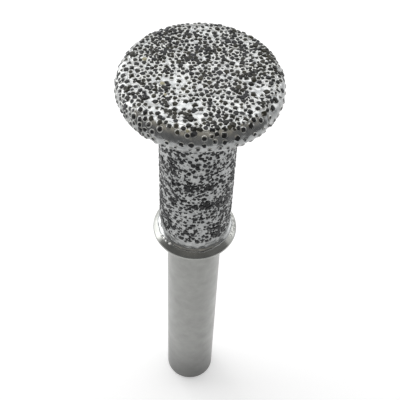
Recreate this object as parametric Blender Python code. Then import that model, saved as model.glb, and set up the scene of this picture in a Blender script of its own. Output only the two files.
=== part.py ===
"""Brazed diamond burr with a mushroom head, standing on the end of its shank.

Two pieces, in metres, +Z up, origin at the centre of the shank's end face:

    steel_blank   one turned piece: shank, collar, neck core and head core
    grit_coat     the brazed skin over neck and head, with its diamond grains

The skin is laid out the way grit is spread: evenly scattered cells over the
whole turned surface, and a grain standing on most of them.
"""

import math

import bmesh
import bpy
import numpy as np
from mathutils import Vector
from mathutils.geometry import delaunay_2d_cdt

# Shank and collar
SHANK_RADIUS = 0.0030
SHANK_LENGTH = 0.0306
END_CHAMFER = 0.0002
COLLAR_RADIUS = 0.0046
COLLAR_HEIGHT = 0.00073
COLLAR_EDGE = 0.0003

# Neck and head, measured over the braze and under the grain tips
NECK_RADIUS = 0.00375
NECK_LENGTH = 0.01815
FLARE_HEIGHT = 0.00133
HEAD_RADIUS = 0.00766
HEAD_THICKNESS = 0.00276
RIM_DEPTH = 0.0012

# The brazed skin and the seat that it keeps from the steel
BRAZE_WALL = 0.0003
SEAT_GAP = 0.0003

# Diamond grains
GRAIN_SPACING = 0.00066
GRAIN_HEIGHT = 0.00016
HEIGHT_SPREAD = 0.3
BARE_SHARE = 0.28
BLOCK_SHARE = 0.36
BLOCK_TOP = 0.6
POINT_DRIFT = 0.22
SCATTER = 0.26
GRAIN_SEED = 11

# Facets round the axis, and along the rounded stretches of a profile
BLANK_SEGMENTS = 60
LINING_SEGMENTS = 48
RIM_STEPS = 16
HIDDEN_RIM_STEPS = 6
EDGE_STEPS = 4
CROWN_STEPS = 7
GOLDEN_ANGLE = math.pi * (3.0 - math.sqrt(5.0))
MERGE_DISTANCE = 1e-7

# Heights that follow from the sizes above
COLLAR_TOP = SHANK_LENGTH + COLLAR_HEIGHT
COAT_BOTTOM = COLLAR_TOP + SEAT_GAP
NECK_TOP = COLLAR_TOP + NECK_LENGTH
HEAD_UNDERSIDE = NECK_TOP + FLARE_HEIGHT
HEAD_TOP = HEAD_UNDERSIDE + HEAD_THICKNESS


def clear_scene():
    """Remove whatever objects the file holds."""
    for item in list(bpy.data.objects):
        bpy.data.objects.remove(item, do_unlink=True)


def metal(name, colour, roughness, metallic):
    """A Principled material of one colour."""
    material = bpy.data.materials.new(name)
    material.use_nodes = True
    shader = material.node_tree.nodes["Principled BSDF"]
    shader.inputs["Base Color"].default_value = (*colour, 1.0)
    shader.inputs["Roughness"].default_value = roughness
    shader.inputs["Metallic"].default_value = metallic
    material.diffuse_color = (*colour, 1.0)
    return material


def add_object(name, bm, material):
    """Put a finished bmesh into the scene as one named object."""
    mesh = bpy.data.meshes.new(name)
    bm.to_mesh(mesh)
    bm.free()
    mesh.materials.append(material)
    item = bpy.data.objects.new(name, mesh)
    bpy.context.scene.collection.objects.link(item)
    return item


def arc(centre, radii, start, stop, steps):
    """Points (r, z) along an elliptical arc, angles in degrees."""
    turns = [math.radians(start + (stop - start) * i / steps) for i in range(steps + 1)]
    return [(centre[0] + radii[0] * math.cos(t), centre[1] + radii[1] * math.sin(t)) for t in turns]


def head_profile(inset, bottom, rim_steps):
    """Outline (r, z) of head and neck, from the top centre down to a height.

    It lies an inset below the braze surface, so one rule gives the surface
    itself, the inside of the skin and the steel under it.
    """
    flat_radius = HEAD_RADIUS - RIM_DEPTH
    half = HEAD_THICKNESS / 2
    slope = math.atan2(FLARE_HEIGHT, flat_radius - NECK_RADIUS)
    corner_rise = inset * (1 - math.sin(slope)) / math.cos(slope)
    rim = arc((flat_radius, HEAD_TOP - half), (RIM_DEPTH - inset, half - inset), 90, -90, rim_steps)
    neck = [(NECK_RADIUS - inset, NECK_TOP + corner_rise), (NECK_RADIUS - inset, bottom)]
    return [(0.0, HEAD_TOP - inset)] + rim + neck


def blank_profile():
    """Outline (r, z) of the turned steel, from the shank's end to the head."""
    grit_radius = NECK_RADIUS + GRAIN_HEIGHT
    crown_base = SHANK_LENGTH + COLLAR_EDGE
    shank = [(0.0, 0.0), (SHANK_RADIUS - END_CHAMFER, 0.0), (SHANK_RADIUS, END_CHAMFER),
             (SHANK_RADIUS, SHANK_LENGTH)]
    crown_radii = (COLLAR_RADIUS - grit_radius, COLLAR_TOP - crown_base)
    edge = arc((COLLAR_RADIUS - COLLAR_EDGE, crown_base), (COLLAR_EDGE, COLLAR_EDGE), -90, 0, EDGE_STEPS)
    crown = arc((grit_radius, crown_base), crown_radii, 0, 90, CROWN_STEPS)
    core = head_profile(BRAZE_WALL + SEAT_GAP, COLLAR_TOP, HIDDEN_RIM_STEPS)
    return shank + edge + crown[1:] + core[::-1]


def revolve(bm, profile, segments):
    """Spin an outline of (r, z) points round the Z axis."""
    verts = [bm.verts.new((r, 0.0, z)) for r, z in profile]
    edges = [bm.edges.new(pair) for pair in zip(verts, verts[1:])]
    bmesh.ops.spin(bm, geom=verts + edges, cent=(0, 0, 0), axis=(0, 0, 1),
                   angle=math.tau, steps=segments, use_merge=True)
    bmesh.ops.remove_doubles(bm, verts=bm.verts, dist=MERGE_DISTANCE)


def steel_blank():
    """The turned blank that everything else is brazed on."""
    bm = bmesh.new()
    revolve(bm, blank_profile(), BLANK_SEGMENTS)
    bmesh.ops.recalc_face_normals(bm, faces=bm.faces)
    item = add_object("steel_blank", bm, metal("ground_steel", (0.31, 0.315, 0.305), 0.34, 1.0))
    item.data.shade_smooth()
    item.data.set_sharp_from_angle(angle=math.radians(35))
    return item


class TurnedSurface:
    """The braze surface, unrolled: path length down the outline and angle."""

    def __init__(self, profile):
        corners = np.array(profile)
        steps = np.linalg.norm(np.diff(corners, axis=0), axis=1)
        knots = np.concatenate([[0.0], np.cumsum(steps)])
        self.length = knots[-1]
        self.path = np.linspace(0.0, self.length, 2000)
        self.radius = np.interp(self.path, knots, corners[:, 0])
        self.height = np.interp(self.path, knots, corners[:, 1])
        middle = (self.radius[1:] + self.radius[:-1]) / 2
        run = np.diff(self.path)
        self.area = np.concatenate([[0.0], np.cumsum(math.tau * middle * run)])
        # Radius of the flat map that keeps angles, so that neighbours in the
        # map are neighbours on the surface: d(log map) = d(path) / radius
        growth = np.concatenate([[0.0], np.cumsum((run / middle)[1:])])
        self.map_radius = np.concatenate([[0.0], np.exp(growth)])

    def point(self, path, angle):
        """The place in space of a point given by path length and angle."""
        r = np.interp(path, self.path, self.radius)
        return Vector((r * math.cos(angle), r * math.sin(angle), np.interp(path, self.path, self.height)))

    def map_point(self, path, angle):
        """The same point in the flat map."""
        r = np.interp(path, self.path, self.map_radius)
        return Vector((r * math.cos(angle), r * math.sin(angle)))


def scatter(surface, rng):
    """Corners of the grit's cells: an even spiral scatter, shaken a little."""
    last = surface.length - 0.6 * GRAIN_SPACING
    covered = np.interp(last, surface.path, surface.area)
    count = round(covered / GRAIN_SPACING ** 2)
    places = []
    for i in range(count):
        path = np.interp(covered * (i + 0.5) / count, surface.area, surface.path)
        radius = np.interp(path, surface.path, surface.radius)
        shift = rng.uniform(-SCATTER, SCATTER, 2) * GRAIN_SPACING
        places.append((min(path + shift[0], last), i * GOLDEN_ANGLE + shift[1] / radius))
    ring = [(surface.length, math.tau * i / LINING_SEGMENTS) for i in range(LINING_SEGMENTS)]
    return places + ring


def lay_cells(bm, surface, places):
    """Cover the surface with four-sided cells between the scattered corners."""
    flat = [surface.map_point(*place) for place in places]
    verts = [bm.verts.new(surface.point(*place)) for place in places]
    _, _, triangles, origin, _, _ = delaunay_2d_cdt(flat, [], [], 0, 1e-5)
    for triangle in triangles:
        bm.faces.new([verts[origin[corner][0]] for corner in triangle])
    bmesh.ops.recalc_face_normals(bm, faces=bm.faces)
    bm.normal_update()
    if sum(face.normal.z * face.calc_area() for face in bm.faces) < 0:
        bmesh.ops.reverse_faces(bm, faces=bm.faces)
    bmesh.ops.join_triangles(bm, faces=bm.faces[:], angle_face_threshold=math.radians(50),
                             angle_shape_threshold=math.radians(65))


def raise_points(bm, cells, rng):
    """Pointed grains: each cell becomes a low pyramid with a drifted tip."""
    lengths = [math.sqrt(cell.calc_area()) for cell in cells]
    tips = bmesh.ops.poke(bm, faces=cells, offset=0.0)["verts"]
    bm.normal_update()
    for tip, length in zip(tips, lengths):
        height = GRAIN_HEIGHT * (1 + rng.uniform(-HEIGHT_SPREAD, HEIGHT_SPREAD))
        drift = Vector(rng.uniform(-POINT_DRIFT, POINT_DRIFT, 3)) * length
        drift -= tip.normal * drift.dot(tip.normal)
        tip.co += drift + tip.normal * height


def raise_blocks(bm, cells, rng):
    """Blocky grains: each cell is drawn up and tapered to a flat top."""
    tops = bmesh.ops.extrude_discrete_faces(bm, faces=cells)["faces"]
    for top in tops:
        height = GRAIN_HEIGHT * (1 + rng.uniform(-HEIGHT_SPREAD, HEIGHT_SPREAD))
        centre, normal = top.calc_center_median(), top.normal.copy()
        for vert in top.verts:
            vert.co = centre + (vert.co - centre) * BLOCK_TOP + normal * height


def grow_grains(bm, rng):
    """Stand a grain on most cells, and leave the row at the lower edge bare."""
    grown = [cell for cell in bm.faces if not any(vert.is_boundary for vert in cell.verts)]
    draws = rng.random(len(grown))
    blocks = [cell for cell, draw in zip(grown, draws) if draw < BLOCK_SHARE]
    points = [cell for cell, draw in zip(grown, draws) if BLOCK_SHARE <= draw < 1 - BARE_SHARE]
    raise_blocks(bm, blocks, rng)
    raise_points(bm, points, rng)


def line_skin(bm):
    """Carry the skin's lower edge inward and up its inside, and close it under the head's top."""
    rim = [edge for edge in bm.edges if edge.is_boundary]
    lining = head_profile(BRAZE_WALL, COAT_BOTTOM, HIDDEN_RIM_STEPS)
    for radius, height in reversed(lining[1:]):
        ring = bmesh.ops.extrude_edge_only(bm, edges=rim)["geom"]
        rim = [part for part in ring if isinstance(part, bmesh.types.BMEdge)]
        for vert in (part for part in ring if isinstance(part, bmesh.types.BMVert)):
            vert.co.z = 0.0
            vert.co = vert.co.normalized() * radius
            vert.co.z = height
    bmesh.ops.edgeloop_fill(bm, edges=rim)


def grit_coat():
    """The brazed skin with its grains, open below where the blank enters."""
    rng = np.random.default_rng(GRAIN_SEED)
    surface = TurnedSurface(head_profile(0.0, COAT_BOTTOM, RIM_STEPS))
    bm = bmesh.new()
    lay_cells(bm, surface, scatter(surface, rng))
    grow_grains(bm, rng)
    line_skin(bm)
    bmesh.ops.recalc_face_normals(bm, faces=bm.faces)
    bmesh.ops.triangulate(bm, faces=bm.faces)
    return add_object("grit_coat", bm, metal("brazed_grit", (0.2, 0.2, 0.19), 0.4, 0.8))


def main():
    clear_scene()
    steel_blank()
    grit_coat()


main()
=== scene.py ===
"""Finish and studio scene of the brazed diamond burr.

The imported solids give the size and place. This script dresses them: a finely
turned steel blank, a silver braze skin that climbs up round every grain, and
the diamond crystals themselves at their real size and number.
"""

from __future__ import annotations

import logging
import math
from collections import defaultdict
from dataclasses import dataclass, field
from enum import Enum

import bmesh
import bpy
import numpy as np
from mathutils import Matrix, Vector
from mathutils.kdtree import KDTree


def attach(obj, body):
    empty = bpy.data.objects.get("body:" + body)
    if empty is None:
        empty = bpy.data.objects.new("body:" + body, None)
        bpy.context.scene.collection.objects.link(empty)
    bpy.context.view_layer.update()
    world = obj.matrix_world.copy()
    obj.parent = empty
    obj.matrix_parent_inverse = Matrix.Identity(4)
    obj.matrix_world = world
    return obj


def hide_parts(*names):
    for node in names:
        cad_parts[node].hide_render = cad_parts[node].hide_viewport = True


log = logging.getLogger("burr")

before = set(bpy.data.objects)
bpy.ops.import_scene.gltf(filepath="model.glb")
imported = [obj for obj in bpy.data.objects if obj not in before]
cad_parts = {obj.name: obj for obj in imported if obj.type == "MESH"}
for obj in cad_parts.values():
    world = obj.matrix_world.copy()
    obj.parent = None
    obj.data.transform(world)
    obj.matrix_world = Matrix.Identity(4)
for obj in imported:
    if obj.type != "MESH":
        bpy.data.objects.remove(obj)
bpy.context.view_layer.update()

MM = 0.001
PALE_TONE = 0.9

UP = Vector((0.0, 0.0, 1.0))

Span = tuple[float, float]
Outline = list[Span]
Layer = tuple[float, float, int]
Zones = dict[str, Span]


def rounded(centre: Span, radii: Span, start: float, stop: float, steps: int) -> Outline:
    """Points along an elliptical arc.

    Args:
        centre: Radius and height of the arc's centre.
        radii: Its half axes along the radius and the height.
        start: First angle, in degrees.
        stop: Last angle, in degrees.
        steps: Number of stretches.

    Returns:
        The points as (radius, height).
    """
    turns = np.radians(np.linspace(start, stop, steps + 1))
    return [(centre[0] + radii[0] * math.cos(t), centre[1] + radii[1] * math.sin(t)) for t in turns]


def ramp(value: np.ndarray, start: float, full: float) -> np.ndarray:
    """A soft rise from 0 to 1.

    Args:
        value: Where it is read.
        start: Value at which it leaves 0.
        full: Value at which it reaches 1, above the start or below it.

    Returns:
        The risen part at each value.
    """
    part = np.clip((value - start) / (full - start), 0.0, 1.0)
    return part * part * (3.0 - 2.0 * part)


def circle(angle: np.ndarray) -> np.ndarray:
    """Points on a unit circle, where noise that runs round the axis is read."""
    return np.stack([np.cos(angle), np.sin(angle), np.zeros(len(angle))], axis=1)


def value_noise(points: np.ndarray, cell: float, seed: int) -> np.ndarray:
    """Smooth random values over space, from -1 to 1.

    Args:
        points: Places, one per row.
        cell: Size of a lump.
        seed: Picks the pattern.

    Returns:
        One value for each place.
    """
    place = points / cell + 1000.0
    base = np.floor(place).astype(np.int64)
    part = place - base
    part = part * part * (3.0 - 2.0 * part)
    total = np.zeros(len(points))
    for corner in np.ndindex(2, 2, 2):
        key = (base + corner) @ np.array([73856093, 19349663, 83492791]) + seed * 2654435761
        key = (key ^ (key >> 13)) * 1274126177 & 0x7FFFFFFF
        key = (key ^ (key >> 16)) & 0xFFFF
        weight = np.prod(np.where(corner, part, 1.0 - part), axis=1)
        total += weight * (key / 32767.5 - 1.0)
    return total


def layered_noise(points: np.ndarray, *layers: Layer) -> np.ndarray:
    """Noise of several lump sizes, added up.

    Args:
        points: Places, one per row.
        layers: Height, lump size and pattern of each layer.

    Returns:
        One value for each place.
    """
    return sum(height * value_noise(points, cell, seed) for height, cell, seed in layers)


def search_tree(points: np.ndarray) -> KDTree:
    """Points, one per row, indexed for look-up by place.

    Args:
        points: The points.

    Returns:
        The index.
    """
    tree = KDTree(len(points))
    for i, point in enumerate(points):
        tree.insert(point, i)
    tree.balance()
    return tree


def corners_and_faces(bm: bmesh.types.BMesh) -> tuple[np.ndarray, list[list[int]]]:
    """Read the corners and faces out of a bmesh, and free it.

    Args:
        bm: The bmesh.

    Returns:
        The corners, one per row, and the corner numbers of each face.
    """
    bm.verts.index_update()
    points = np.array([vert.co for vert in bm.verts])
    faces = [[vert.index for vert in face.verts] for face in bm.faces]
    bm.free()
    return points, faces


def tube_faces(stations: int, sides: int) -> np.ndarray:
    """Faces of a tube that closes on itself.

    Args:
        stations: Cross-sections along the tube.
        sides: Corners of each cross-section.

    Returns:
        Four corner numbers a face. Corners are counted section by section.
    """
    start = np.arange(stations)[:, None] * sides
    ahead = (start + sides) % (stations * sides)
    side = np.arange(sides)[None, :]
    above = (side + 1) % sides
    return np.stack([start + side, ahead + side, ahead + above, start + above], axis=-1).reshape(-1, 4)


def linked(name: str, data: bpy.types.ID) -> bpy.types.Object:
    """Make an object of some data, linked to the scene.

    Args:
        name: The object's name.
        data: Its mesh, lamp or camera.

    Returns:
        The object.
    """
    made = bpy.data.objects.new(name, data)
    bpy.context.scene.collection.objects.link(made)
    return made


def new_piece(name: str, points: np.ndarray, faces: list, material: bpy.types.Material,
              smooth: bool = False) -> bpy.types.Object:
    """Make one object from corners and faces.

    Args:
        name: The object's name.
        points: Its corners, one per row, in metres.
        faces: Corner numbers of each face.
        material: Its finish.
        smooth: Whether its faces are shaded smooth.

    Returns:
        The new object, linked to the scene.
    """
    mesh = bpy.data.meshes.new(name)
    mesh.from_pydata(points.tolist(), [], faces)
    mesh.materials.append(material)
    mesh.polygons.foreach_set("use_smooth", [smooth] * len(mesh.polygons))
    mesh.update()
    return linked(name, mesh)


class Finish(Enum):
    """Names of two finish slots; no piece in this script takes its finish from them."""

    STEEL = "ground_steel"
    GRIT = "brazed_grit"


def settle(piece: bpy.types.Object, node: str) -> None:
    """Set a piece on the body in place of its solid, and report it.

    Args:
        piece: The piece.
        node: The solid it takes the place of.
    """
    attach(piece, "root")
    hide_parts(node)
    log.info("%s: %d faces", piece.name, len(piece.data.polygons))


def coat_piece(name: str, points: np.ndarray, faces: list, material: bpy.types.Material,
               smooth: bool = True) -> bpy.types.Object:
    """Make one piece of the grit coat, set in place of the coat's solid.

    Args:
        name: The piece's name.
        points: Its corners, one per row, in metres.
        faces: Corner numbers of each face.
        material: Its finish.
        smooth: Whether its faces are shaded smooth.

    Returns:
        The piece.
    """
    piece = new_piece(name, points, faces, material, smooth)
    settle(piece, "grit_coat")
    return piece


@dataclass(frozen=True)
class BurrSizes:
    """Driving sizes of the burr, in metres.

    Shank and collar are those of the solids. Head and neck are given at the braze, under grains
    that are lower than the solids', and the braze fillet at the neck's foot raises the collar.
    """

    shank_radius: float = 3.0 * MM
    shank_length: float = 30.6 * MM
    end_chamfer: float = 0.2 * MM
    collar_radius: float = 4.6 * MM
    collar_height: float = 1.0 * MM
    collar_edge: float = 0.3 * MM
    collar_shoulder: float = 0.12 * MM
    neck_radius: float = 3.78 * MM
    neck_length: float = 17.88 * MM
    flare_height: float = 1.33 * MM
    head_radius: float = 7.75 * MM
    head_thickness: float = 2.76 * MM
    rim_depth: float = 1.2 * MM
    grain_height: float = 0.15 * MM
    braze_wall: float = 0.3 * MM
    seat_gap: float = 0.3 * MM

    @property
    def collar_top(self) -> float:
        """Height of the collar's top."""
        return self.shank_length + self.collar_height

    @property
    def neck_top(self) -> float:
        """Height where the neck starts to flare."""
        return self.collar_top + self.neck_length

    @property
    def head_top(self) -> float:
        """Height of the braze on the head's face."""
        return self.neck_top + self.flare_height + self.head_thickness

    @property
    def flat_radius(self) -> float:
        """Radius of the head's flat face."""
        return self.head_radius - self.rim_depth

    @property
    def grit_radius(self) -> float:
        """Radius of the neck over its grains, where the collar's crown ends."""
        return self.neck_radius + self.grain_height

    def head_outline(self, inset: float, bottom: float, rim_steps: int) -> Outline:
        """Outline of head and neck at an inset below the braze surface.

        Args:
            inset: How far below that surface it runs.
            bottom: Height at which it ends on the neck.
            rim_steps: Number of stretches round the rim.

        Returns:
            The outline, from the axis down.
        """
        half = self.head_thickness / 2
        centre = (self.flat_radius, self.head_top - half)
        rim = rounded(centre, (self.rim_depth - inset, half - inset), 90, -90, rim_steps)
        neck_radius = self.neck_radius - inset
        neck = [(neck_radius, self.neck_top + inset * 0.6), (neck_radius, bottom)]
        return [(0.0, self.head_top - inset)] + rim + neck

    def crown_outline(self) -> Outline:
        """Outline of the collar above its widest point: a cone between two rounded edges."""
        edge_centre = (self.collar_radius - self.collar_edge, self.shank_length + self.collar_edge)
        edge = rounded(edge_centre, (self.collar_edge,) * 2, 0, 45, 6)
        height = self.collar_top - self.collar_shoulder
        reach = (edge[-1][0] + edge[-1][1]) - height - math.sqrt(2) * self.collar_shoulder
        return edge + rounded((reach, height), (self.collar_shoulder,) * 2, 45, 90, 6)


class TurnedPath:
    """A turned outline, read by the distance along it from the top centre."""

    step = 0.01 * MM

    def __init__(self, outline: Outline, softness: float) -> None:
        """Sample an outline finely and soften its corners.

        Args:
            outline: Points (radius, height), starting on the axis.
            softness: How far the softening reaches to each side of a corner.
        """
        corners = np.array(outline)
        knots = np.concatenate([[0.0], np.cumsum(np.linalg.norm(np.diff(corners, axis=0), axis=1))])
        self.length = float(knots[-1])
        reach = max(1, round(softness / self.step))
        path = np.arange(-2 * reach, round(self.length / self.step) + 2 * reach + 1) * self.step
        radius = np.interp(np.abs(path), knots, corners[:, 0]) * np.where(path < 0, -1.0, 1.0)
        height = np.interp(np.abs(path), knots, corners[:, 1])
        tail = corners[-1] - corners[-2]
        past = np.maximum(path - self.length, 0.0) / np.linalg.norm(tail)
        radius, height = radius + past * tail[0], height + past * tail[1]
        window = np.hanning(2 * reach + 1)
        window /= window.sum()
        inner = slice(2 * reach, -2 * reach)
        self.path = path[inner]
        self.radius = np.convolve(radius, window, "same")[inner]
        self.height = np.convolve(height, window, "same")[inner]
        self.radius[0] = 0.0
        slope = np.stack([np.gradient(self.radius), np.gradient(self.height)])
        slope /= np.linalg.norm(slope, axis=0)
        self.out_radius, self.out_height = -slope[1], slope[0]
        rings = math.tau * self.radius * self.step
        self.area = np.concatenate([[0.0], np.cumsum((rings[1:] + rings[:-1]) / 2)])
        self.tree = search_tree(np.stack([self.radius, self.height, np.zeros(len(self.path))], axis=1))

    def at(self, path: np.ndarray, angle: np.ndarray) -> tuple[np.ndarray, np.ndarray]:
        """Places and outward directions on the turned surface.

        Args:
            path: Distances along the outline.
            angle: Angles round the axis.

        Returns:
            The places and the unit normals, one per row.
        """
        cos, sin = np.cos(angle), np.sin(angle)
        radius, height, out_r, out_h = (np.interp(path, self.path, row) for row in
                                        (self.radius, self.height, self.out_radius, self.out_height))
        return (np.stack([radius * cos, radius * sin, height], axis=1),
                np.stack([out_r * cos, out_r * sin, out_h], axis=1))

    def foot(self, points: np.ndarray) -> tuple[np.ndarray, np.ndarray]:
        """The nearest place on the turned surface.

        Args:
            points: Places near it, one per row.

        Returns:
            Distances along the outline, and angles round the axis.
        """
        radius = np.hypot(points[:, 0], points[:, 1])
        nearest = [self.tree.find((r, h, 0.0))[1] for r, h in zip(radius, points[:, 2])]
        return self.path[nearest], np.arctan2(points[:, 1], points[:, 0])

    def where(self, test: np.ndarray) -> float:
        """The first distance along the outline at which a test holds."""
        return float(self.path[np.argmax(test)])


class Habit(Enum):
    """Crystal habits of the grit, by how far the cube faces cut in."""

    OCTAHEDRAL = 0.35
    TRUNCATED = 0.55
    CUBO_OCTAHEDRAL = 0.85
    BLOCKY = 1.25
    CUBIC = 1.55

    def template(self) -> tuple[np.ndarray, list[list[int]]]:
        """Corners and faces of such a crystal, with the volume of a ball one unit in radius."""
        near, far = min(self.value, 1.0), max(self.value - 1.0, 0.0)
        corners = set()
        for axis in range(3):
            for signs in np.ndindex(2, 2, 2):
                point = [far, near, 1.0]
                turned = [point[(i + axis) % 3] for i in range(3)]
                swapped = [turned[i] for i in (1, 0, 2)]
                for form in (turned, swapped):
                    corners.add(tuple(v * (1 - 2 * s) for v, s in zip(form, signs)))
        bm = bmesh.new()
        for corner in map(Vector, sorted(corners)):
            bm.verts.new(corner.normalized() if far == 0 else corner / math.sqrt(2 + far ** 2))
        bmesh.ops.remove_doubles(bm, verts=bm.verts, dist=1e-4)
        bmesh.ops.convex_hull(bm, input=bm.verts)
        bmesh.ops.dissolve_limit(bm, angle_limit=math.radians(2), verts=bm.verts, edges=bm.edges)
        bmesh.ops.recalc_face_normals(bm, faces=bm.faces)
        share = bm.calc_volume() / (4 / 3 * math.pi)
        points, faces = corners_and_faces(bm)
        return points / share ** (1 / 3), faces


@dataclass
class GrainField:
    """Where each diamond grain sits and how large it is.

    A ramp holds where an effect starts and where it is full. Those of the rim, the band and the
    underside are read at the upward part of the surface's normal, and the others at a place.
    """

    path: TurnedPath
    sizes: BurrSizes
    seed: int = 4207
    tries: int = 70000
    mean_radius: float = 0.215 * MM
    radius_spread: float = 0.13
    radius_limit: float = 1.8
    spacing: float = 0.94
    crowding_effect: float = 0.22
    face_crowding_effect: float = 0.23
    crowding_gain: float = 1.5
    crowding_bias: float = 0.15
    patch_cell: float = 1.05 * MM
    patches: tuple[Layer, ...] = ((1.0, patch_cell, 3), (0.5, patch_cell / 2.2, 5),
                                  (0.5, patch_cell * 3, 8))
    bare_level: float = -0.8
    face_bare_level: float = -0.95
    bare_spread: float = 0.3
    face_margin: float = 0.3 * MM
    back_crowding: float = 0.42
    back_offset: float = 0.05
    back_ramp: Span = (-1.0 * MM, 4.0 * MM)
    side_bareness: float = 0.35
    side_ramp: Span = (3.5 * MM, 6.5 * MM)
    rim_spacing: float = 0.5
    rim_ramp: Span = (0.95, 0.65)
    bare_band_spacing: float = 0.7
    band_ramp: Span = (0.65, 0.45)
    band_end_ramp: Span = (-0.1, 0.1)
    underside_spacing: float = 0.85
    underside_ramp: Span = (0.1, -0.4)
    left_rim_crowding: float = 0.92
    left_rim_closing: float = 0.16
    left_ramp: Span = (-3.4 * MM, -5.4 * MM)
    left_front_ramp: Span = (2.0 * MM, -1.0 * MM)
    unevenness: Layer = (0.45, 2.6 * MM, 47)
    flare_share: float = 0.15
    ragged_depth: float = 0.28 * MM
    ragged_border: Layer = (ragged_depth, 0.3, 53)
    places: np.ndarray = field(init=False)
    normals: np.ndarray = field(init=False)
    radii: np.ndarray = field(init=False)
    paths: np.ndarray = field(init=False)

    def scatter(self, last: float) -> None:
        """Drop grains on the surface one by one, where there is room.

        Args:
            last: Distance along the outline at which the grit ends in a ragged border.
        """
        rng = np.random.default_rng(self.seed)
        covered = np.interp(last, self.path.path, self.path.area)
        paths = np.interp(rng.uniform(0, covered, self.tries), self.path.area, self.path.path)
        angles = rng.uniform(0, math.tau, self.tries)
        swell = np.clip(rng.normal(size=self.tries), -self.radius_limit, self.radius_limit)
        radii = self.mean_radius * (1 + self.radius_spread * swell)
        places, normals = self.path.at(paths, angles)
        crowding = self.crowding(places)
        on_face = self.on_face(places)
        effect = np.where(on_face, self.face_crowding_effect, self.crowding_effect)
        spacing = self.spacing - effect * np.clip(self.crowding_gain * crowding, -1.0, 1.0)
        spacing += self.extra_spacing(places, normals)
        border = last - self.ragged_depth + layered_noise(circle(angles), self.ragged_border)
        bare = np.where(on_face, self.face_bare_level, self.bare_level)
        covers = crowding > bare + self.bare_spread * rng.random(self.tries)
        keep = np.flatnonzero(covers & (paths < border))
        chosen = self.with_room(keep, places, radii, spacing)
        self.places, self.normals = places[chosen], normals[chosen]
        self.radii, self.paths = radii[chosen], paths[chosen]
        log.info("%d grains on %.0f square mm", len(chosen), covered / MM ** 2)

    @staticmethod
    def with_room(order: np.ndarray, places: np.ndarray, radii: np.ndarray,
                  spacing: np.ndarray) -> list[int]:
        """Pick grains in order, leaving out each that comes too near one picked before.

        Args:
            order: Numbers of the grains that are tried.
            places: Where the grains sit.
            radii: Their radii.
            spacing: Least gap to a neighbour, as a share of both radii.

        Returns:
            Numbers of the grains that stay.
        """
        reach = float(2 * spacing.max() * radii.max())
        bins: dict[tuple[int, int, int], list[int]] = defaultdict(list)
        chosen: list[int] = []
        for i in order:
            home = tuple(int(v) for v in places[i] // reach)
            near = [j for step in np.ndindex(3, 3, 3)
                    for j in bins[tuple(home[k] + step[k] - 1 for k in range(3))]]
            if near:
                gaps = np.linalg.norm(places[near] - places[i], axis=1)
                if np.any(gaps < spacing[i] * (radii[near] + radii[i])):
                    continue
            bins[home].append(i)
            chosen.append(i)
        return chosen

    def between(self, start: float, stop: float) -> np.ndarray:
        """Numbers of the grains between two distances along the outline."""
        return np.flatnonzero((self.paths >= start) & (self.paths < stop))

    def on_face(self, places: np.ndarray) -> np.ndarray:
        """Whether each place is on the head's face."""
        return places[:, 2] > self.sizes.head_top - self.face_margin

    def crowding(self, places: np.ndarray) -> np.ndarray:
        """How crowded the grit is at each place: above 0 in clusters, below in bare patches.

        Args:
            places: Points of the turned surface, one per row.

        Returns:
            One value for each place.
        """
        patchy = layered_noise(places, *self.patches) + self.crowding_bias
        back = self.back_crowding * (ramp(places[:, 1], *self.back_ramp) - self.back_offset)
        sides = self.side_bareness * ramp(np.abs(places[:, 0]), *self.side_ramp)
        return patchy + np.where(self.on_face(places), back - sides, 0.0)

    def extra_spacing(self, places: np.ndarray, normals: np.ndarray) -> np.ndarray:
        """How much further apart grains sit on the head's rim and below it.

        Args:
            places: Points of the turned surface.
            normals: Its outward directions there.

        Returns:
            What the spacing gains at each place.
        """
        up = normals[:, 2]
        on_head = places[:, 2] > self.sizes.neck_top + self.flare_share * self.sizes.flare_height
        left = ramp(places[:, 0], *self.left_ramp) * ramp(places[:, 1], *self.left_front_ramp)
        steep, below = ramp(up, *self.rim_ramp), ramp(up, *self.underside_ramp)
        band = ramp(up, *self.band_ramp) * ramp(up, *self.band_end_ramp)
        extra = self.rim_spacing * steep + self.bare_band_spacing * band
        extra = extra * (1 - below) + self.underside_spacing * below
        extra *= 1 - self.left_rim_crowding * left
        extra *= 1 + layered_noise(places, self.unevenness)
        return np.where(on_head, extra - self.left_rim_closing * left * steep, 0.0)


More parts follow.
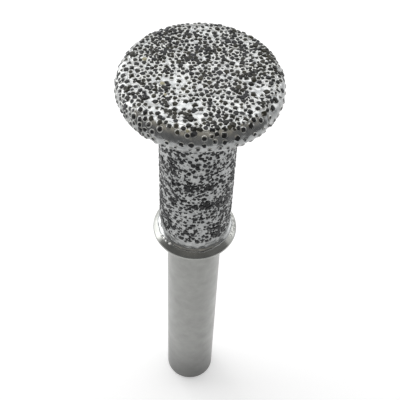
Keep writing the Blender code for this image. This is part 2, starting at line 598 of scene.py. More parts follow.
@dataclass
class BrazeRelief:
    """Height of the braze above its turned form: menisci, ripples and the film on the collar."""

    grains: GrainField
    film_start: float
    film_edge: float
    climb: float = 0.05 * MM
    reach: float = 0.1 * MM
    foot: float = 0.97
    ripple: float = 0.04 * MM
    ripple_cell: float = 0.75 * MM
    ripples: tuple[Layer, ...] = ((1.0, ripple_cell, 17), (0.45, ripple_cell / 2.3, 23))
    film: float = 0.07 * MM
    film_merge: float = 0.3 * MM
    sink: float = 0.03 * MM
    sink_width: float = 0.1 * MM
    edge_waves: tuple[Layer, ...] = ((0.11 * MM, 0.21, 31), (0.06 * MM, 0.09, 37))

    def __post_init__(self) -> None:
        """Index the grains for look-up by place."""
        self.tree = search_tree(self.grains.places)

    def meniscus(self, places: np.ndarray) -> np.ndarray:
        """Height to which braze climbs at each place, drawn up by the grains near it.

        Args:
            places: Points of the plain turned surface, one per row.

        Returns:
            One height for each place.
        """
        found = [[(near[1], near[2]) for near in self.tree.find_n(place, 3)] for place in places]
        index = np.array([[near[0] for near in row] for row in found])
        gap = np.array([[near[1] for near in row] for row in found])
        clear = (gap - self.foot * self.grains.radii[index]) / self.reach
        rise = (1.0 - np.clip(clear, 0.0, 1.0)) ** 2
        return self.climb * (1.0 - np.prod(1.0 - rise, axis=1))

    def height(self, places: np.ndarray, path: np.ndarray, angle: np.ndarray) -> np.ndarray:
        """Height of the braze at each place.

        Args:
            places: Points of the plain turned surface.
            path: Their distances along the outline.
            angle: Their angles round the axis.

        Returns:
            One height for each place.
        """
        rise = self.meniscus(places) + self.ripple * layered_noise(places, *self.ripples)
        on_film = ramp(path, self.film_start, self.film_start + self.film_merge)
        edge = self.edge(angle)
        film = (self.film + self.sink) * ramp(path, edge, edge - self.sink_width) - self.sink
        return rise * (1 - on_film) + film * on_film

    def edge(self, angle: np.ndarray) -> np.ndarray:
        """Distance along the outline at which the film on the collar ends, at each angle."""
        return self.film_edge + layered_noise(circle(angle), *self.edge_waves)


def socket_group(name: str, inputs: dict[str, float], outputs: dict[str, str]) -> bpy.types.NodeTree:
    """Start a shader node group with named sockets.

    Args:
        name: The group's name.
        inputs: Default value of each number that goes in.
        outputs: Socket type of each value that comes out.

    Returns:
        The group, with its input and output nodes placed.
    """
    group = bpy.data.node_groups.new(name, "ShaderNodeTree")
    for label, value in inputs.items():
        socket = group.interface.new_socket(name=label, in_out="INPUT", socket_type="NodeSocketFloat")
        socket.default_value = value
    for label, kind in outputs.items():
        group.interface.new_socket(name=label, in_out="OUTPUT", socket_type=kind)
    group.nodes.new("NodeGroupInput").name = "in"
    group.nodes.new("NodeGroupOutput").name = "out"
    return group


def mottle_group() -> bpy.types.NodeTree:
    """Soft blotches with finer ones inside, as a mask and as a height."""
    group = socket_group("mottle", {"Scale": 400.0, "Low": 0.0, "High": 1.0},
                         {"Mask": "NodeSocketFloat", "Height": "NodeSocketFloat"})
    nodes, links = group.nodes, group.links
    place = nodes.new("ShaderNodeTexCoord")
    noise = nodes.new("ShaderNodeTexNoise")
    noise.inputs["Detail"].default_value = 4.0
    noise.inputs["Roughness"].default_value = 0.6
    spread = nodes.new("ShaderNodeMapRange")
    spread.inputs["From Min"].default_value = 0.32
    spread.inputs["From Max"].default_value = 0.68
    links.new(place.outputs["Object"], noise.inputs["Vector"])
    links.new(nodes["in"].outputs["Scale"], noise.inputs["Scale"])
    links.new(noise.outputs["Fac"], spread.inputs["Value"])
    links.new(nodes["in"].outputs["Low"], spread.inputs["To Min"])
    links.new(nodes["in"].outputs["High"], spread.inputs["To Max"])
    links.new(spread.outputs["Result"], nodes["out"].inputs["Mask"])
    links.new(noise.outputs["Fac"], nodes["out"].inputs["Height"])
    return group


def height_mask_group() -> bpy.types.NodeTree:
    """A mask that rises from 0 to 1 between two heights above the shank's end."""
    group = socket_group("height_mask", {"Bottom": 0.0, "Top": 1.0}, {"Mask": "NodeSocketFloat"})
    nodes, links = group.nodes, group.links
    place = nodes.new("ShaderNodeTexCoord")
    split = nodes.new("ShaderNodeSeparateXYZ")
    spread = nodes.new("ShaderNodeMapRange")
    spread.interpolation_type = "SMOOTHSTEP"
    links.new(place.outputs["Object"], split.inputs["Vector"])
    links.new(split.outputs["Z"], spread.inputs["Value"])
    links.new(nodes["in"].outputs["Bottom"], spread.inputs["From Min"])
    links.new(nodes["in"].outputs["Top"], spread.inputs["From Max"])
    links.new(spread.outputs["Result"], nodes["out"].inputs["Mask"])
    return group


@dataclass(frozen=True)
class EffectGroups:
    """The shader effects that several finishes share, built once."""

    mottle: bpy.types.NodeTree
    height_mask: bpy.types.NodeTree

    @staticmethod
    def build() -> EffectGroups:
        """Make every group."""
        return EffectGroups(mottle_group(), height_mask_group())


class Shader:
    """A material under construction, with its Principled shader at hand."""

    def __init__(self, name: str) -> None:
        """Start a material of that name.

        Args:
            name: The material's name.
        """
        self.material = bpy.data.materials.new(name)
        self.material.use_nodes = True
        self.tree = self.material.node_tree
        self.skin = self.tree.nodes["Principled BSDF"]

    def set(self, **values: float | tuple) -> None:
        """Set plain values on the Principled shader, by socket name with _ for a space."""
        for label, value in values.items():
            self.skin.inputs[label.replace("_", " ")].default_value = value

    def effect(self, group: bpy.types.NodeTree, **values: float) -> bpy.types.Node:
        """Place a shared effect with its own values.

        Args:
            group: The effect.
            values: Its numbers, by socket name.

        Returns:
            The placed node.
        """
        node = self.tree.nodes.new("ShaderNodeGroup")
        node.node_tree = group
        for label, value in values.items():
            node.inputs[label].default_value = value
        return node

    def mottled(self, groups: EffectGroups, scale: float, span: Span = (0.0, 1.0)) -> bpy.types.NodeSocket:
        """A number that varies over a span in soft blotches."""
        return self.effect(groups.mottle, Scale=scale, Low=span[0], High=span[1]).outputs["Mask"]

    def pitted(self, groups: EffectGroups, scale: float, depth: float, strength: float = 0.5) -> None:
        """Raise the surface in fine soft lumps."""
        self.bump(self.effect(groups.mottle, Scale=scale).outputs["Height"], depth, strength)

    def mix_colour(self, factor: bpy.types.NodeSocket, low: tuple, high: tuple) -> bpy.types.NodeSocket:
        """A colour between two, by a factor.

        Args:
            factor: 0 for the first colour, 1 for the second.
            low: First colour.
            high: Second colour.

        Returns:
            The colour's socket.
        """
        range_node = self.tree.nodes.new("ShaderNodeValToRGB")
        for stop, colour in zip(range_node.color_ramp.elements, (low, high)):
            stop.color = (*colour, 1.0)
        self.link(factor, range_node.inputs["Fac"])
        return range_node.outputs["Color"]

    def blend(self, factor: bpy.types.NodeSocket, low: bpy.types.NodeSocket,
              high: bpy.types.NodeSocket) -> bpy.types.NodeSocket:
        """A colour between two that nodes drive, by a factor.

        Args:
            factor: 0 for the first colour, 1 for the second.
            low: First colour.
            high: Second colour.

        Returns:
            The colour's socket.
        """
        mix = self.tree.nodes.new("ShaderNodeMix")
        mix.data_type = "RGBA"
        for source, number in ((factor, 0), (low, 6), (high, 7)):
            self.link(source, mix.inputs[number])
        return mix.outputs[2]

    def mix_value(self, factor: bpy.types.NodeSocket, low: bpy.types.NodeSocket | float,
                  high: bpy.types.NodeSocket | float) -> bpy.types.NodeSocket:
        """A number between two, by a factor.

        Args:
            factor: 0 for the first number, 1 for the second.
            low: First number, or its socket.
            high: Second number, or its socket.

        Returns:
            The number's socket.
        """
        mix = self.tree.nodes.new("ShaderNodeMix")
        self.link(factor, mix.inputs["Factor"])
        for label, end in (("A", low), ("B", high)):
            if isinstance(end, float):
                mix.inputs[label].default_value = end
            else:
                self.link(end, mix.inputs[label])
        return mix.outputs["Result"]

    def shaded(self, colour: bpy.types.NodeSocket, mask: bpy.types.NodeSocket,
               low: float) -> bpy.types.NodeSocket:
        """The colour, darkened to a share of itself where the mask is 0.

        Args:
            colour: The full colour.
            mask: 1 where it stays as it is.
            low: The share.

        Returns:
            The darkened colour's socket.
        """
        share = self.tree.nodes.new("ShaderNodeMapRange")
        share.inputs["To Min"].default_value = low
        self.link(mask, share.inputs["Value"])
        scale = self.tree.nodes.new("ShaderNodeVectorMath")
        scale.operation = "SCALE"
        self.link(colour, scale.inputs[0])
        self.link(share.outputs["Result"], scale.inputs["Scale"])
        return scale.outputs["Vector"]

    def bump(self, height: bpy.types.NodeSocket, distance: float, strength: float) -> None:
        """Raise the surface by a height, on top of any bump placed before.

        Args:
            height: The height's socket.
            distance: Full height, in metres.
            strength: How much of it shows.
        """
        node = self.tree.nodes.new("ShaderNodeBump")
        node.inputs["Distance"].default_value = distance
        node.inputs["Strength"].default_value = strength
        self.link(height, node.inputs["Height"])
        before = self.skin.inputs["Normal"].links
        if before:
            self.link(before[0].from_socket, node.inputs["Normal"])
        self.link(node.outputs["Normal"], self.skin.inputs["Normal"])

    def link(self, source: bpy.types.NodeSocket, target: bpy.types.NodeSocket) -> None:
        """Join two sockets."""
        self.tree.links.new(source, target)


@dataclass(frozen=True)
class GroundSteel:
    """Satin ground shank, turning smoother and brighter at the collar, and darker towards the shank's end
    with painted shade.
    """

    low: tuple = (0.276, 0.278, 0.267)
    high: tuple = (0.319, 0.322, 0.309)
    collar_low: tuple = (0.27, 0.275, 0.262)
    collar_high: tuple = (0.41, 0.415, 0.395)
    # Painted shade: towards the shank's end the steel darkens to this share of itself.
    painted_end_shade: float = 0.46
    painted_end_shade_span: Span = (-0.5 * MM, 9.5 * MM)
    shank_roughness: Span = (0.29, 0.39)
    collar_roughness: float = 0.2
    blotch_scale: float = 900.0
    cloud_scale: float = 520.0
    roughness_scale: float = 500.0
    grind_scale: float = 9000.0
    grind_flattening: float = 0.03
    grind_depth: float = 0.004 * MM
    grind_strength: float = 0.6
    collar_from: float = 30.4 * MM
    collar_full: float = 30.6 * MM

    def material(self, groups: EffectGroups) -> bpy.types.Material:
        """Build the finish.

        Args:
            groups: The shared effects.

        Returns:
            The material.
        """
        shader = Shader("ground_steel")
        shader.set(Metallic=1.0)
        plain = shader.mix_colour(shader.mottled(groups, self.blotch_scale), self.low, self.high)
        cloud = shader.mottled(groups, self.cloud_scale)
        cloudy = shader.mix_colour(cloud, self.collar_low, self.collar_high)
        collar = shader.effect(groups.height_mask, Bottom=self.collar_from, Top=self.collar_full)
        steel = shader.blend(collar.outputs["Mask"], plain, cloudy)
        # Painted shade: darker towards the shank's end, where the shank reflects the floor's shadow.
        end = shader.effect(groups.height_mask, Bottom=self.painted_end_shade_span[0], Top=self.painted_end_shade_span[1])
        steel = shader.shaded(steel, end.outputs["Mask"], self.painted_end_shade)
        shader.link(steel, shader.skin.inputs["Base Color"])
        rough = shader.mottled(groups, self.roughness_scale, self.shank_roughness)
        rough = shader.mix_value(collar.outputs["Mask"], rough, self.collar_roughness)
        shader.link(rough, shader.skin.inputs["Roughness"])
        self.grinding(shader)
        return shader.material

    def grinding(self, shader: Shader) -> None:
        """Fine rings left round the shank by the grinding wheel.

        Args:
            shader: The steel's material, raised by them.
        """
        nodes = shader.tree.nodes
        place = nodes.new("ShaderNodeTexCoord")
        flatten = nodes.new("ShaderNodeMapping")
        flatten.inputs["Scale"].default_value = (self.grind_flattening, self.grind_flattening, 1.0)
        noise = nodes.new("ShaderNodeTexNoise")
        noise.inputs["Scale"].default_value = self.grind_scale
        noise.inputs["Detail"].default_value = 2.0
        shader.link(place.outputs["Object"], flatten.inputs["Vector"])
        shader.link(flatten.outputs["Vector"], noise.inputs["Vector"])
        shader.bump(noise.outputs["Fac"], self.grind_depth, self.grind_strength)


@dataclass(frozen=True)
class SilverBraze:
    """Bright silvery braze, a little cloudy, that reflects in soft patches."""

    low: tuple = (0.27, 0.278, 0.281)
    high: tuple = (0.43, 0.437, 0.434)
    roughness: Span = (0.17, 0.29)
    cloud_scale: float = 1500.0
    roughness_scale: float = 1100.0
    lump_scale: float = 5200.0
    lump_depth: float = 0.012 * MM

    def material(self, groups: EffectGroups) -> bpy.types.Material:
        """Build the finish.

        Args:
            groups: The shared effects.

        Returns:
            The material.
        """
        shader = Shader("silver_braze")
        shader.set(Metallic=1.0)
        colour = shader.mix_colour(shader.mottled(groups, self.cloud_scale), self.low, self.high)
        shader.link(colour, shader.skin.inputs["Base Color"])
        rough = shader.mottled(groups, self.roughness_scale, self.roughness)
        shader.link(rough, shader.skin.inputs["Roughness"])
        shader.pitted(groups, self.lump_scale, self.lump_depth)
        return shader.material


@dataclass(frozen=True)
class PaintedHighlightBead:
    """The braze of the beads round the grains and of the drops: less mirror-like than the flat of it, and
    paler, a painted highlight that shows them as bright rings and spots.
    """

    # Painted highlight: paler than the silver braze, so that beads and drops show bright.
    colour: tuple = (0.58, 0.585, 0.57)
    roughness: float = 0.42

    def material(self) -> bpy.types.Material:
        """Build the finish from plain values."""
        shader = Shader("bead_painted_highlight")
        shader.set(Metallic=1.0, Roughness=self.roughness, Base_Color=(*self.colour, 1.0))
        return shader.material


@dataclass(frozen=True)
class DiamondGrain:
    """Dark grey-green synthetic diamond, each grain of its own tone, partly random and partly painted light
    by which way it faces.

    A tone of 0 is grey, the next colours stand at their own tones, and a painted glint, a bright highlight
    colour, is at 1.
    """

    grey: tuple = (0.03, 0.031, 0.034)
    dark: tuple = (0.013, 0.014, 0.015)
    pale: tuple = (0.045, 0.042, 0.027)
    # Painted glint: a pale bright colour that stands for a highlight on a grain.
    painted_glint: tuple = (0.42, 0.39, 0.26)
    dark_tone: float = 0.2
    roughness: Span = (0.28, 0.45)
    roughness_scale: float = 3000.0
    pit_scale: float = 9000.0
    pit_depth: float = 0.01 * MM

    def material(self, groups: EffectGroups) -> bpy.types.Material:
        """Build the finish.

        Args:
            groups: The shared effects.

        Returns:
            The material.
        """
        shader = Shader("diamond_grain")
        shader.set(Specular_IOR_Level=0.22)
        tone = shader.tree.nodes.new("ShaderNodeAttribute")
        tone.attribute_name = "grain_tone"
        colour = shader.mix_colour(tone.outputs["Fac"], self.grey, self.painted_glint)
        for level, between in ((self.dark_tone, self.dark), (PALE_TONE, self.pale)):
            colour.node.color_ramp.elements.new(level).color = (*between, 1.0)
        shader.link(colour, shader.skin.inputs["Base Color"])
        rough = shader.mottled(groups, self.roughness_scale, self.roughness)
        shader.link(rough, shader.skin.inputs["Roughness"])
        shader.pitted(groups, self.pit_scale, self.pit_depth)
        return shader.material


@dataclass
class SteelBlank:
    """The turned steel: shank, collar, and the core under neck and head."""

    sizes: BurrSizes
    segments: int = 192
    corner: float = 0.03 * MM
    sharp_angle: float = 50.0

    def outline(self) -> Outline:
        """Outline from the centre of the shank's end up to the head."""
        s = self.sizes
        end = [(0.0, 0.0), (s.shank_radius - s.end_chamfer - self.corner, 0.0)]
        chamfer = [(s.shank_radius - s.end_chamfer + self.corner / 2, self.corner / 2),
                   (s.shank_radius - self.corner / 2, s.end_chamfer - self.corner / 2)]
        shank = [(s.shank_radius, s.end_chamfer + self.corner), (s.shank_radius, s.shank_length)]
        edge_centre = (s.collar_radius - s.collar_edge, s.shank_length + s.collar_edge)
        edge = rounded(edge_centre, (s.collar_edge,) * 2, -90, 0, 8)
        crown = s.crown_outline()[1:]
        core = s.head_outline(s.braze_wall + s.seat_gap, s.collar_top, 12)
        return end + chamfer + shank + edge + crown + core[::-1]

    def build(self, finish: bpy.types.Material) -> bpy.types.Object:
        """Turn the outline and dress it.

        Args:
            finish: The steel.

        Returns:
            The piece.
        """
        bm = bmesh.new()
        verts = [bm.verts.new((r, 0.0, z)) for r, z in self.outline()]
        edges = [bm.edges.new(pair) for pair in zip(verts, verts[1:])]
        bmesh.ops.spin(bm, geom=verts + edges, cent=(0, 0, 0), axis=(0, 0, 1), angle=math.tau,
                       steps=self.segments, use_merge=True)
        bmesh.ops.remove_doubles(bm, verts=bm.verts, dist=1e-7)
        bmesh.ops.recalc_face_normals(bm, faces=bm.faces)
        mesh = bpy.data.meshes.new("turned_blank")
        bm.to_mesh(mesh)
        bm.free()
        mesh.materials.append(finish)
        mesh.shade_smooth()
        mesh.set_sharp_from_angle(angle=math.radians(self.sharp_angle))
        piece = linked("turned_blank", mesh)
        settle(piece, "steel_blank")
        return piece


@dataclass
class BrazeSkin:
    """The braze skin, in four closed pieces from the face down to the collar."""

    sizes: BurrSizes
    path: TurnedPath
    relief: BrazeRelief
    face_rings: int = 130
    rim_rows: int = 80
    underside_rows: int = 40
    neck_columns: int = 400
    neck_rows: int = 190
    inner_rows: int = 8
    depth: float = 0.42 * MM

    def build(self, zones: Zones, finish: bpy.types.Material) -> None:
        """Lay the skin of each zone as one piece.

        Args:
            zones: Name of the zone, and the distances along the outline it covers.
            finish: The braze.
        """
        head_columns = 6 * self.face_rings
        self.face(zones["face"][1], finish)
        self.band("braze_rim", *zones["rim"], self.rim_rows, head_columns, finish)
        self.band("braze_underside", *zones["underside"], self.underside_rows, head_columns, finish)
        self.band("braze_neck", *zones["neck"], self.neck_rows, self.neck_columns, finish)

    def raised(self, path: np.ndarray, angle: np.ndarray) -> np.ndarray:
        """Places on the braze surface, relief included."""
        places, normals = self.path.at(path, angle)
        return places + normals * self.relief.height(places, path, angle)[:, None]

    def face(self, stop: float, finish: bpy.types.Material) -> bpy.types.Object:
        """The head's flat face, a disc of even triangles with a flat back.

        Args:
            stop: Distance along the outline where the face ends.
            finish: The braze.

        Returns:
            The piece.
        """
        rings = self.face_rings
        counts = [1] + [6 * k for k in range(1, rings + 1)]
        starts = np.concatenate([[0], np.cumsum(counts)]).tolist()
        path = np.concatenate([np.full(n, stop * k / rings) for k, n in enumerate(counts)])
        angle = np.concatenate([math.tau * np.arange(n) / n for n in counts])
        faces = [[0, 1 + i, 1 + (i + 1) % 6] for i in range(6)]
        for k in range(1, rings):
            inner, outer = starts[k], starts[k + 1]
            for side in range(6):
                for i in range(k + 1):
                    a = inner + (side * k + i) % (6 * k)
                    b = outer + (side * (k + 1) + i) % (6 * (k + 1))
                    c = outer + (side * (k + 1) + i + 1) % (6 * (k + 1))
                    faces.append([a, b, c])
                    if i < k:
                        faces.append([a, c, inner + (side * k + i + 1) % (6 * k)])
        points = self.raised(path, angle)
        back = points[starts[rings]:].copy()
        back[:, 2] = self.sizes.head_top - self.depth
        count = counts[-1]
        rim, low = starts[rings], len(points)
        faces += [[rim + i, low + i, low + (i + 1) % count, rim + (i + 1) % count] for i in range(count)]
        faces.append(list(range(low + count - 1, low - 1, -1)))
        return coat_piece("braze_face", np.vstack([points, back]), faces, finish)

    def band(self, name: str, start: float, stop: float, rows: int, columns: int,
             finish: bpy.types.Material) -> bpy.types.Object:
        """A closed ring of skin between two distances along the outline.

        Args:
            name: The piece's name.
            start: Distance at its upper edge.
            stop: Distance at its lower edge.
            rows: Faces down the outline.
            columns: Faces round the axis.
            finish: The braze.

        Returns:
            The piece.
        """
        steps = np.linspace(start, stop, rows + 1)
        turns = math.tau * np.arange(columns) / columns
        points = self.raised(np.repeat(steps, columns), np.tile(turns, rows + 1))
        inner_steps = np.linspace(stop, start, self.inner_rows + 1)
        inner, normals = self.path.at(np.repeat(inner_steps, columns), np.tile(turns, len(inner_steps)))
        points = np.vstack([points, inner - normals * self.depth])
        faces = tube_faces(len(steps) + len(inner_steps), columns)
        return coat_piece(name, points, faces.tolist(), finish)


@dataclass
class BrazeFillets:
    """The rounded bead in which the braze stands up round each grain."""

    path: TurnedPath
    relief: BrazeRelief
    seed: int = 311
    segments: int = 12
    sides: int = 4
    gauge: float = 0.036 * MM
    neck_gauge: float = 0.018 * MM
    gauge_spread: float = 0.25
    gauge_wave: float = 0.25
    spread_limit: float = 2.0
    out_of_round: Span = (0.05, 0.03)
    side_offset: float = 0.25
    reach: float = 1.13
    sink: float = 0.012 * MM

    def build(self, zones: Zones, finish: bpy.types.Material) -> None:
        """Lay the beads of each zone as one piece.

        Args:
            zones: Name of the zone, and the distances along the outline it covers.
            finish: The beads' braze, paler as a painted highlight.
        """
        rng = np.random.default_rng(self.seed)
        ring = tube_faces(self.segments, self.sides)
        for zone, (start, stop) in zones.items():
            members = self.relief.grains.between(start, stop)
            points = self.beads(members, rng)
            starts = np.arange(len(members))[:, None, None] * self.segments * self.sides
            faces = (starts + ring[None]).reshape(-1, 4)
            coat_piece(f"fillets_{zone}", points, faces.tolist(), finish)

    def beads(self, members: np.ndarray, rng: np.random.Generator) -> np.ndarray:
        """Corners of the beads round some grains.

        Args:
            members: Numbers of the grains.
            rng: Source of chance.

        Returns:
            The corners, grain by grain, round the ring and then round the bead.
        """
        grains = self.relief.grains
        normals = grains.normals[members]
        helper = np.where(np.abs(normals[:, 2:]) > 0.7, (1.0, 0.0, 0.0), (0.0, 0.0, 1.0))
        across = np.cross(normals, helper)
        across /= np.linalg.norm(across, axis=1, keepdims=True)
        along = np.cross(normals, across)
        turn = math.tau * np.arange(self.segments)[None, :] / self.segments
        phase = rng.uniform(0, math.tau, (3, len(members), 1))
        oval, three_sided = self.out_of_round
        bulge = 1 + oval * np.sin(2 * turn + phase[0]) + three_sided * np.sin(3 * turn + phase[1])
        radius = grains.radii[members][:, None] * self.reach * bulge
        spoke = np.cos(turn)[..., None] * across[:, None] + np.sin(turn)[..., None] * along[:, None]
        places = (grains.places[members][:, None] + radius[..., None] * spoke).reshape(-1, 3)
        path, angle = self.path.foot(places)
        surface, outward = self.path.at(path, angle)
        centre = surface + outward * (self.relief.height(surface, path, angle) - self.sink)[:, None]
        spoke = spoke.reshape(-1, 3)
        spoke -= outward * np.sum(spoke * outward, axis=1, keepdims=True)
        spoke /= np.linalg.norm(spoke, axis=1, keepdims=True)
        swell = 1 + self.gauge_spread * np.clip(rng.normal(size=(len(members), 1)), -self.spread_limit,
                                                self.spread_limit)
        on_neck = places[:, 2:] < grains.sizes.neck_top
        gauge = (swell * (1 + self.gauge_wave * np.sin(turn + phase[2]))).reshape(-1, 1)
        gauge *= np.where(on_neck, self.neck_gauge, self.gauge)
        around = math.tau * (np.arange(self.sides) + self.side_offset) / self.sides
        return np.stack([centre + gauge * (math.cos(a) * spoke + math.sin(a) * outward) for a in around],
                        axis=1).reshape(-1, 3)


@dataclass(frozen=True)
class DropCluster:
    """Some drops of braze that ran onto the collar's cone.

    Angles are in degrees round the axis, and reach is the distance beyond the film's edge.
    """

    count: int
    middle: float
    spread: float
    reach: Span
    radius: Span


@dataclass
class BrazeLip:
    """The wavy lip in which the film ends on the collar, and the drops beside it."""

    path: TurnedPath
    relief: BrazeRelief
    seed: int = 58
    columns: int = 480
    sides: int = 7
    gauge: float = 0.055 * MM
    swell: Layer = (0.4, 0.17, 61)
    rise: float = 0.4
    drop_flatness: float = 0.6
    drop_stretch: Span = (0.85, 1.25)
    drop_stray: float = 2.0
    clusters: tuple[DropCluster, ...] = (
        DropCluster(count=6, middle=-139.0, spread=11.0,
                    reach=(-0.03 * MM, 0.12 * MM), radius=(0.12 * MM, 0.17 * MM)),
        DropCluster(count=26, middle=4.0, spread=24.0,
                    reach=(0.0, 0.45 * MM), radius=(0.07 * MM, 0.15 * MM)),
        DropCluster(count=12, middle=90.0, spread=90.0,
                    reach=(-0.02 * MM, 0.12 * MM), radius=(0.05 * MM, 0.08 * MM)),
    )

    def build(self, finish: bpy.types.Material, drop_finish: bpy.types.Material) -> None:
        """Lay the lip and set the drops.

        Args:
            finish: The lip's braze.
            drop_finish: The drops' braze, paler as a painted highlight.
        """
        turn = math.tau * np.arange(self.columns) / self.columns
        centre, outward = self.path.at(self.relief.edge(turn), turn)
        centre += outward * self.rise * self.relief.film
        down = np.cross(circle(turn + math.pi / 2), outward)
        gauge = self.gauge * (1 + layered_noise(circle(turn), self.swell))
        around = math.tau * np.arange(self.sides) / self.sides
        points = [centre + gauge[:, None] * (math.cos(a) * down + math.sin(a) * outward) for a in around]
        faces = tube_faces(self.columns, self.sides)
        coat_piece("braze_lip", np.stack(points, axis=1).reshape(-1, 3), faces.tolist(), finish)
        self.drops(drop_finish)

    def drops(self, finish: bpy.types.Material) -> None:
        """Set the drops of every cluster as one piece.

        Args:
            finish: The drops' braze, paler as a painted highlight.
        """
        rng = np.random.default_rng(self.seed)
        bm = bmesh.new()
        bmesh.ops.create_uvsphere(bm, u_segments=14, v_segments=9, radius=1.0)
        ball, sides = corners_and_faces(bm)
        points, faces = [], []
        for cluster in self.clusters:
            angle = np.radians(cluster.middle + cluster.spread * np.linspace(-1, 1, cluster.count))
            angle += np.radians(rng.uniform(-self.drop_stray, self.drop_stray, cluster.count))
            reach = self.relief.edge(angle) + rng.uniform(*cluster.reach, cluster.count)
            places, outward = self.path.at(reach, angle)
            for place, out in zip(places, outward):
                radius = rng.uniform(*cluster.radius)
                size = radius * np.append(rng.uniform(*self.drop_stretch, 2), self.drop_flatness)
                turn = UP.rotation_difference(Vector(out)).to_matrix()
                spin = Matrix.Rotation(rng.uniform(0, math.tau), 3, "Z")
                faces += [[corner + len(points) * len(ball) for corner in side] for side in sides]
                points.append((ball * size) @ np.array(turn @ spin).T + place)
        coat_piece("braze_drops", np.vstack(points), faces, finish)


@dataclass
class DiamondGrit:
    """All the grains, each a crystal set into the braze.

    A ramp holds the upward parts of the surface's normal where it starts and where it is full.
    """

    grains: GrainField
    seed: int = 977
    habit_shares: tuple[float, ...] = (0.1, 0.25, 0.3, 0.22, 0.13)
    upright_share: float = 0.62
    lean: float = 14.0
    stretch: float = 0.13
    bury: float = 0.02 * MM
    bury_spread: Span = (0.5, 1.5)
    upward_ramp: Span = (0.55, 0.95)
    girth: float = 1.1
    side_girth: float = 1.16
    flatness: float = 0.66
    side_flatness: float = 0.45
    rim_girth: float = 1.02
    rim_flatness: float = 0.46
    rim_lift: float = 0.018 * MM
    # Painted light by facing: grains facing up reach the pale olive tones, those on the sides are held to
    # grey and dark ones.
    painted_light_ramp: Span = (0.5, 0.9)
    painted_side_shade: float = 0.35
    tone_shape: Span = (1.6, 2.6)
    # Share of grains facing up that take the painted glint colour.
    painted_glint_share: float = 0.006
    painted_glint_from: float = 0.9

    def build(self, zones: Zones, finish: bpy.types.Material) -> None:
        """Set the grains of each zone as one piece.

        Args:
            zones: Name of the zone, and the distances along the outline it covers.
            finish: The grains' material.
        """
        rng = np.random.default_rng(self.seed)
        templates = [habit.template() for habit in Habit]
        for zone, (start, stop) in zones.items():
            points, faces, tones = [], [], []
            count = 0
            for i in self.grains.between(start, stop):
                corners, sides = templates[rng.choice(len(templates), p=self.habit_shares)]
                points.append(self.posed(corners, i, rng))
                faces += [[count + corner for corner in side] for side in sides]
                tones.append(np.full(len(corners), self.tone(i, rng)))
                count += len(corners)
            piece = coat_piece(f"grains_{zone}", np.vstack(points), faces, finish, smooth=False)
            tone = piece.data.attributes.new("grain_tone", "FLOAT", "POINT")
            tone.data.foreach_set("value", np.concatenate(tones))

    def tone(self, i: int, rng: np.random.Generator) -> float:
        """Tone of one grain, random and scaled by painted light: it goes furthest to olive on the face,
        where grains face up, and only there can it take the painted glint.

        Args:
            i: Number of the grain.
            rng: Source of chance.

        Returns:
            The tone, as the grains' material reads it.
        """
        # Painted light and shade: the tone is scaled by how far the grain faces up.
        upward = float(ramp(self.grains.normals[i, 2], *self.painted_light_ramp))
        painted_facing_light = self.painted_side_shade + (1 - self.painted_side_shade) * upward
        # Painted glint: now and then a grain facing up takes the bright glint colour.
        if rng.random() < self.painted_glint_share and painted_facing_light > self.painted_glint_from:
            return 1.0
        return PALE_TONE * rng.beta(*self.tone_shape) * painted_facing_light

    def posed(self, corners: np.ndarray, i: int, rng: np.random.Generator) -> np.ndarray:
        """One crystal, stretched, leaned and set into the braze.

        Args:
            corners: The crystal's corners, one unit in radius.
            i: Number of the grain.
            rng: Source of chance.

        Returns:
            The corners in place.
        """
        outward = self.grains.normals[i]
        upright = rng.random() < self.upright_share
        tilt = Matrix.Rotation(math.radians(rng.normal(0, self.lean)), 3, "X")
        if not upright:
            tilt = tilt @ Vector((1, 1, 1)).rotation_difference(UP).to_matrix()
        spin = Matrix.Rotation(rng.uniform(0, math.tau), 3, "Z")
        to_surface = UP.rotation_difference(Vector(outward)).to_matrix()
        turn = np.array(to_surface @ spin @ tilt)
        upward = float(ramp(outward[2], *self.upward_ramp))
        on_head = self.grains.places[i, 2] > self.grains.sizes.neck_top
        side_girth = self.rim_girth if on_head else self.side_girth
        side_flatness = self.rim_flatness if on_head else self.side_flatness
        girth = side_girth + (self.girth - side_girth) * upward
        scale = self.grains.radii[i] * girth * (1 + rng.uniform(-self.stretch, self.stretch, 3))
        shape = (corners * scale) @ turn.T
        flatness = side_flatness + (self.flatness - side_flatness) * upward
        shape -= np.outer(shape @ outward, outward) * (1 - flatness)
        lift = self.rim_lift * (1 - upward) if on_head else 0.0
        return shape + self.grains.places[i] + outward * (lift - self.bury * rng.uniform(*self.bury_spread))


